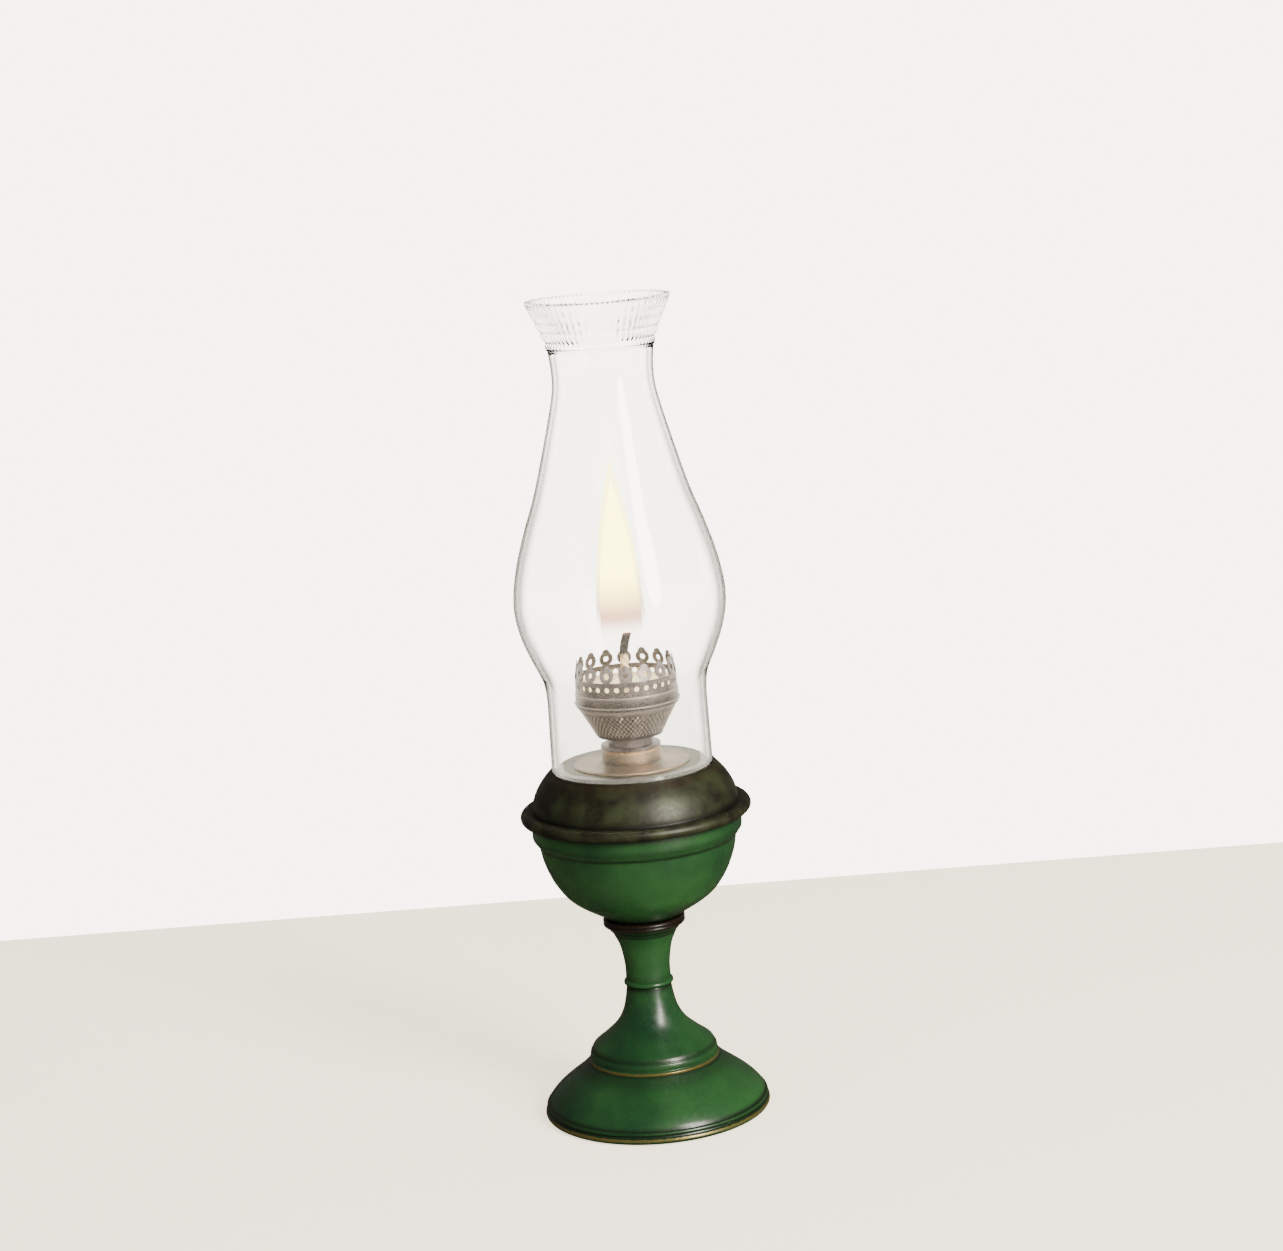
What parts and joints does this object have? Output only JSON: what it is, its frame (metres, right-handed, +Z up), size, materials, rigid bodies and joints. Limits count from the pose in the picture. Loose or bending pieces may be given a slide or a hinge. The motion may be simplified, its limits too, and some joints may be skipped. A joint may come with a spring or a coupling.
{
  "type": "oil lamp",
  "caption": "Table oil lamp: green spun-metal pedestal and bowl, drop-in font with a pronged burner and round wick, and a clear bulged glass chimney with a flared mouth.",
  "frame": {"origin": "on the lamp's axis, at the underside of the felt", "axes": "+Z up along the lamp's axis; +X is the side to which the burnt end of the wick leans"},
  "size_m": [0.1096, 0.1096, 0.3911],
  "materials": {
    "green_paint": "antique green paint, satin, rubbed at the edges",
    "dark_collar": "near-black paint with a brown rub",
    "patina": "dark olive-brown patina with copper showing",
    "felt": "pressed green felt",
    "iron": "rough casting",
    "steel": "zinc plated",
    "tin": "dull tinplate",
    "burner_bronze": "dark, heat-stained brass",
    "cork": "oil-proof composition washer",
    "cotton": "braided cotton, charred at the tip",
    "clear_glass": "clear blown glass with a pressed mouth"
  },
  "bodies": {
    "stand": {"base_felt": "felt", "ballast": "iron", "foot_skirt": "green_paint", "bell": "green_paint", "stem_ring": "green_paint", "trumpet": "green_paint", "bowl_collar": "dark_collar", "bowl": "green_paint", "tie_rod": "steel", "tie_washers": "steel", "tie_nuts": "steel"},
    "font": {"font_lid": "patina", "font_tank": "tin", "font_collar": "burner_bronze"},
    "burner": {"burner_gasket": "cork", "burner_plug": "burner_bronze", "air_basket": "burner_bronze", "gallery_band": "burner_bronze", "crown": "burner_bronze", "diffuser_plate": "burner_bronze", "wick_tube": "burner_bronze"},
    "wick": {"wick": "cotton"},
    "chimney": {"chimney": "clear_glass"}
  },
  "joints": [
    {"name": "font_lift", "type": "slide", "parent": "stand", "child": "font", "axis": [0, 0, 1], "range_m": [0, 0.05]},
    {"name": "burner_lift", "type": "slide", "parent": "font", "child": "burner", "axis": [0, 0, 1], "range_m": [0, 0.065]},
    {"name": "wick_slide", "type": "slide", "parent": "burner", "child": "wick", "axis": [0, 0, 1], "range_m": [-0.006, 0.008]},
    {"name": "chimney_lift", "type": "slide", "parent": "font", "child": "chimney", "axis": [0, 0, 1], "range_m": [0, 0.09]}
  ]
}
